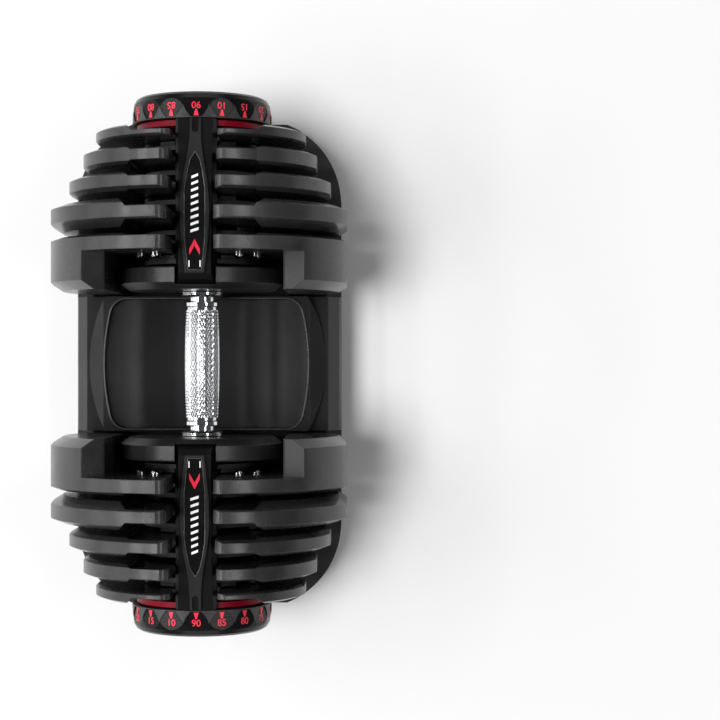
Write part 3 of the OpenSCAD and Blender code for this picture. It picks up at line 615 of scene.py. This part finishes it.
def printed(name, outlines, surface, end, material):
    """Flat print laid on a surface. Each outline is drawn for the rear end, in X and Y."""
    shape = bmesh.new()
    turn = end_turn(end)
    for outline in outlines:
        corners = []
        for x, y in outline:
            over = turn @ Vector((x, y, 1.0))
            hit = surface.ray_cast(over, Vector((0, 0, -1)))[0]
            corners.append(shape.verts.new(hit + Vector((0, 0, PRINT_LIFT))))
        face = shape.faces.new(corners)
        face.normal_update()
        if face.normal.z < 0:
            face.normal_flip()
        grown = bmesh.ops.extrude_face_region(shape, geom=[face])
        lowered = [v for v in grown["geom"] if isinstance(v, bmesh.types.BMVert)]
        bmesh.ops.translate(shape, verts=lowered, vec=(0, 0, -PRINT_BODY))
    return add_piece(name + "_" + end, mesh_from(name + "_" + end, shape), material, "handle")


def bar(x, y, wide, long, slant=0.0):
    return [(x - wide / 2, y - slant), (x + wide / 2, y + slant),
            (x + wide / 2, y + slant + long), (x - wide / 2, y - slant + long)]


def inlay_print(end):
    """A plain motif: two hairlines at the heel, one arrowhead and a column of slanted bars."""
    top = top_of("spine_inlay_" + end)
    surface = BVHTree.FromBMesh(top)
    top.free()
    start = INLAY_START
    hairlines = [bar(s * HAIRLINE_ASIDE, start + HAIRLINE_START, HAIRLINE_WIDTH, HAIRLINE_LENGTH)
                 for s in (-1, 1)]
    slats = [bar(0, start + SLAT_START + k * SLAT_PITCH, SLAT_WIDTH - SLAT_NARROWING * k, SLAT_LENGTH,
                 SLAT_SLANT) for k in range(SLATS)]
    printed("inlay_bars", hairlines + slats, surface, end, WHITE_PRINT)
    tip = start + ARROW_TIP
    arms = [[(0, tip), (s * ARROW_HALF, tip - ARROW_SWEEP), (s * ARROW_HALF, tip - ARROW_TAIL),
             (0, tip - ARROW_NOTCH)] for s in (-1, 1)]
    printed("inlay_arrow", arms, surface, end, RED_PRINT)


# ---------- floor and light ----------

FLOOR_REACH = 15.0
LIGHT_AIM = (0, 0, 0.1)
WORLD_STRENGTH = 0.07
SUN_SPREAD = 21
SUN_STRENGTH = 3.3


def add_floor():
    shape = bmesh.new()
    bmesh.ops.create_grid(shape, x_segments=2, y_segments=2, size=FLOOR_REACH)
    floor = bpy.data.objects.new("floor", mesh_from("floor", shape))
    bpy.context.collection.objects.link(floor)
    g = Graph("floor_paper")
    g.put(g.shader, "Base Color", g.mix(g.noise(3.0, 3.0, 0.5), (0.59, 0.59, 0.59), (0.61, 0.61, 0.61)))
    g.shader.inputs["Roughness"].default_value = 0.9
    g.shader.inputs["Specular IOR Level"].default_value = 0.1
    floor.data.materials.append(g.material)


def aim_light(name, data, place, aim):
    light = bpy.data.objects.new(name, data)
    light.location = place
    light.rotation_euler = (Vector(aim) - Vector(place)).to_track_quat("-Z", "Y").to_euler()
    light.visible_camera = False
    bpy.context.collection.objects.link(light)
    return light


def add_softbox(name, place, along, across, power):
    data = bpy.data.lights.new(name, "AREA")
    data.energy = power
    data.shape = "RECTANGLE"
    data.size = along
    data.size_y = across
    aim_light(name, data, place, LIGHT_AIM)


def add_skylight(name, place, spread, strength):
    """Even, soft light for the whole floor and the shadows; glossy parts don't mirror it."""
    data = bpy.data.lights.new(name, "SUN")
    data.energy = strength
    data.angle = math.radians(spread)
    light = aim_light(name, data, place, LIGHT_AIM)
    light.visible_glossy = False


def add_world(color, strength):
    world = bpy.data.worlds.new("studio")
    bpy.context.scene.world = world
    world.use_nodes = True
    background = world.node_tree.nodes["Background"]
    background.inputs["Color"].default_value = (*color, 1.0)
    background.inputs["Strength"].default_value = strength


dress_nodes()
knurled_grip()
dish_bead()
for side in ENDS:
    dial_numbers(side)
    inlay_trim(side)
    inlay_print(side)

add_floor()
add_world((1.0, 1.0, 1.0), WORLD_STRENGTH)
add_softbox("upper_left_strip", (-0.94, -0.05, 1.42), 1.4, 0.12, 7)
add_softbox("lower_left_strip", (-1.22, -0.05, 1.12), 1.4, 0.12, 7)
add_softbox("right_strip", (0.86, 0.05, 1.42), 1.4, 0.14, 6)
add_softbox("left_wall", (-1.9, 0.0, 0.7), 1.6, 1.0, 9)
add_softbox("near_wall", (0.0, -2.1, 0.8), 1.6, 1.0, 8)
add_softbox("far_wall", (0.0, 2.1, 0.8), 1.6, 1.0, 8)
add_skylight("skylight", (-0.66, -0.1, 2.1), SUN_SPREAD, SUN_STRENGTH)
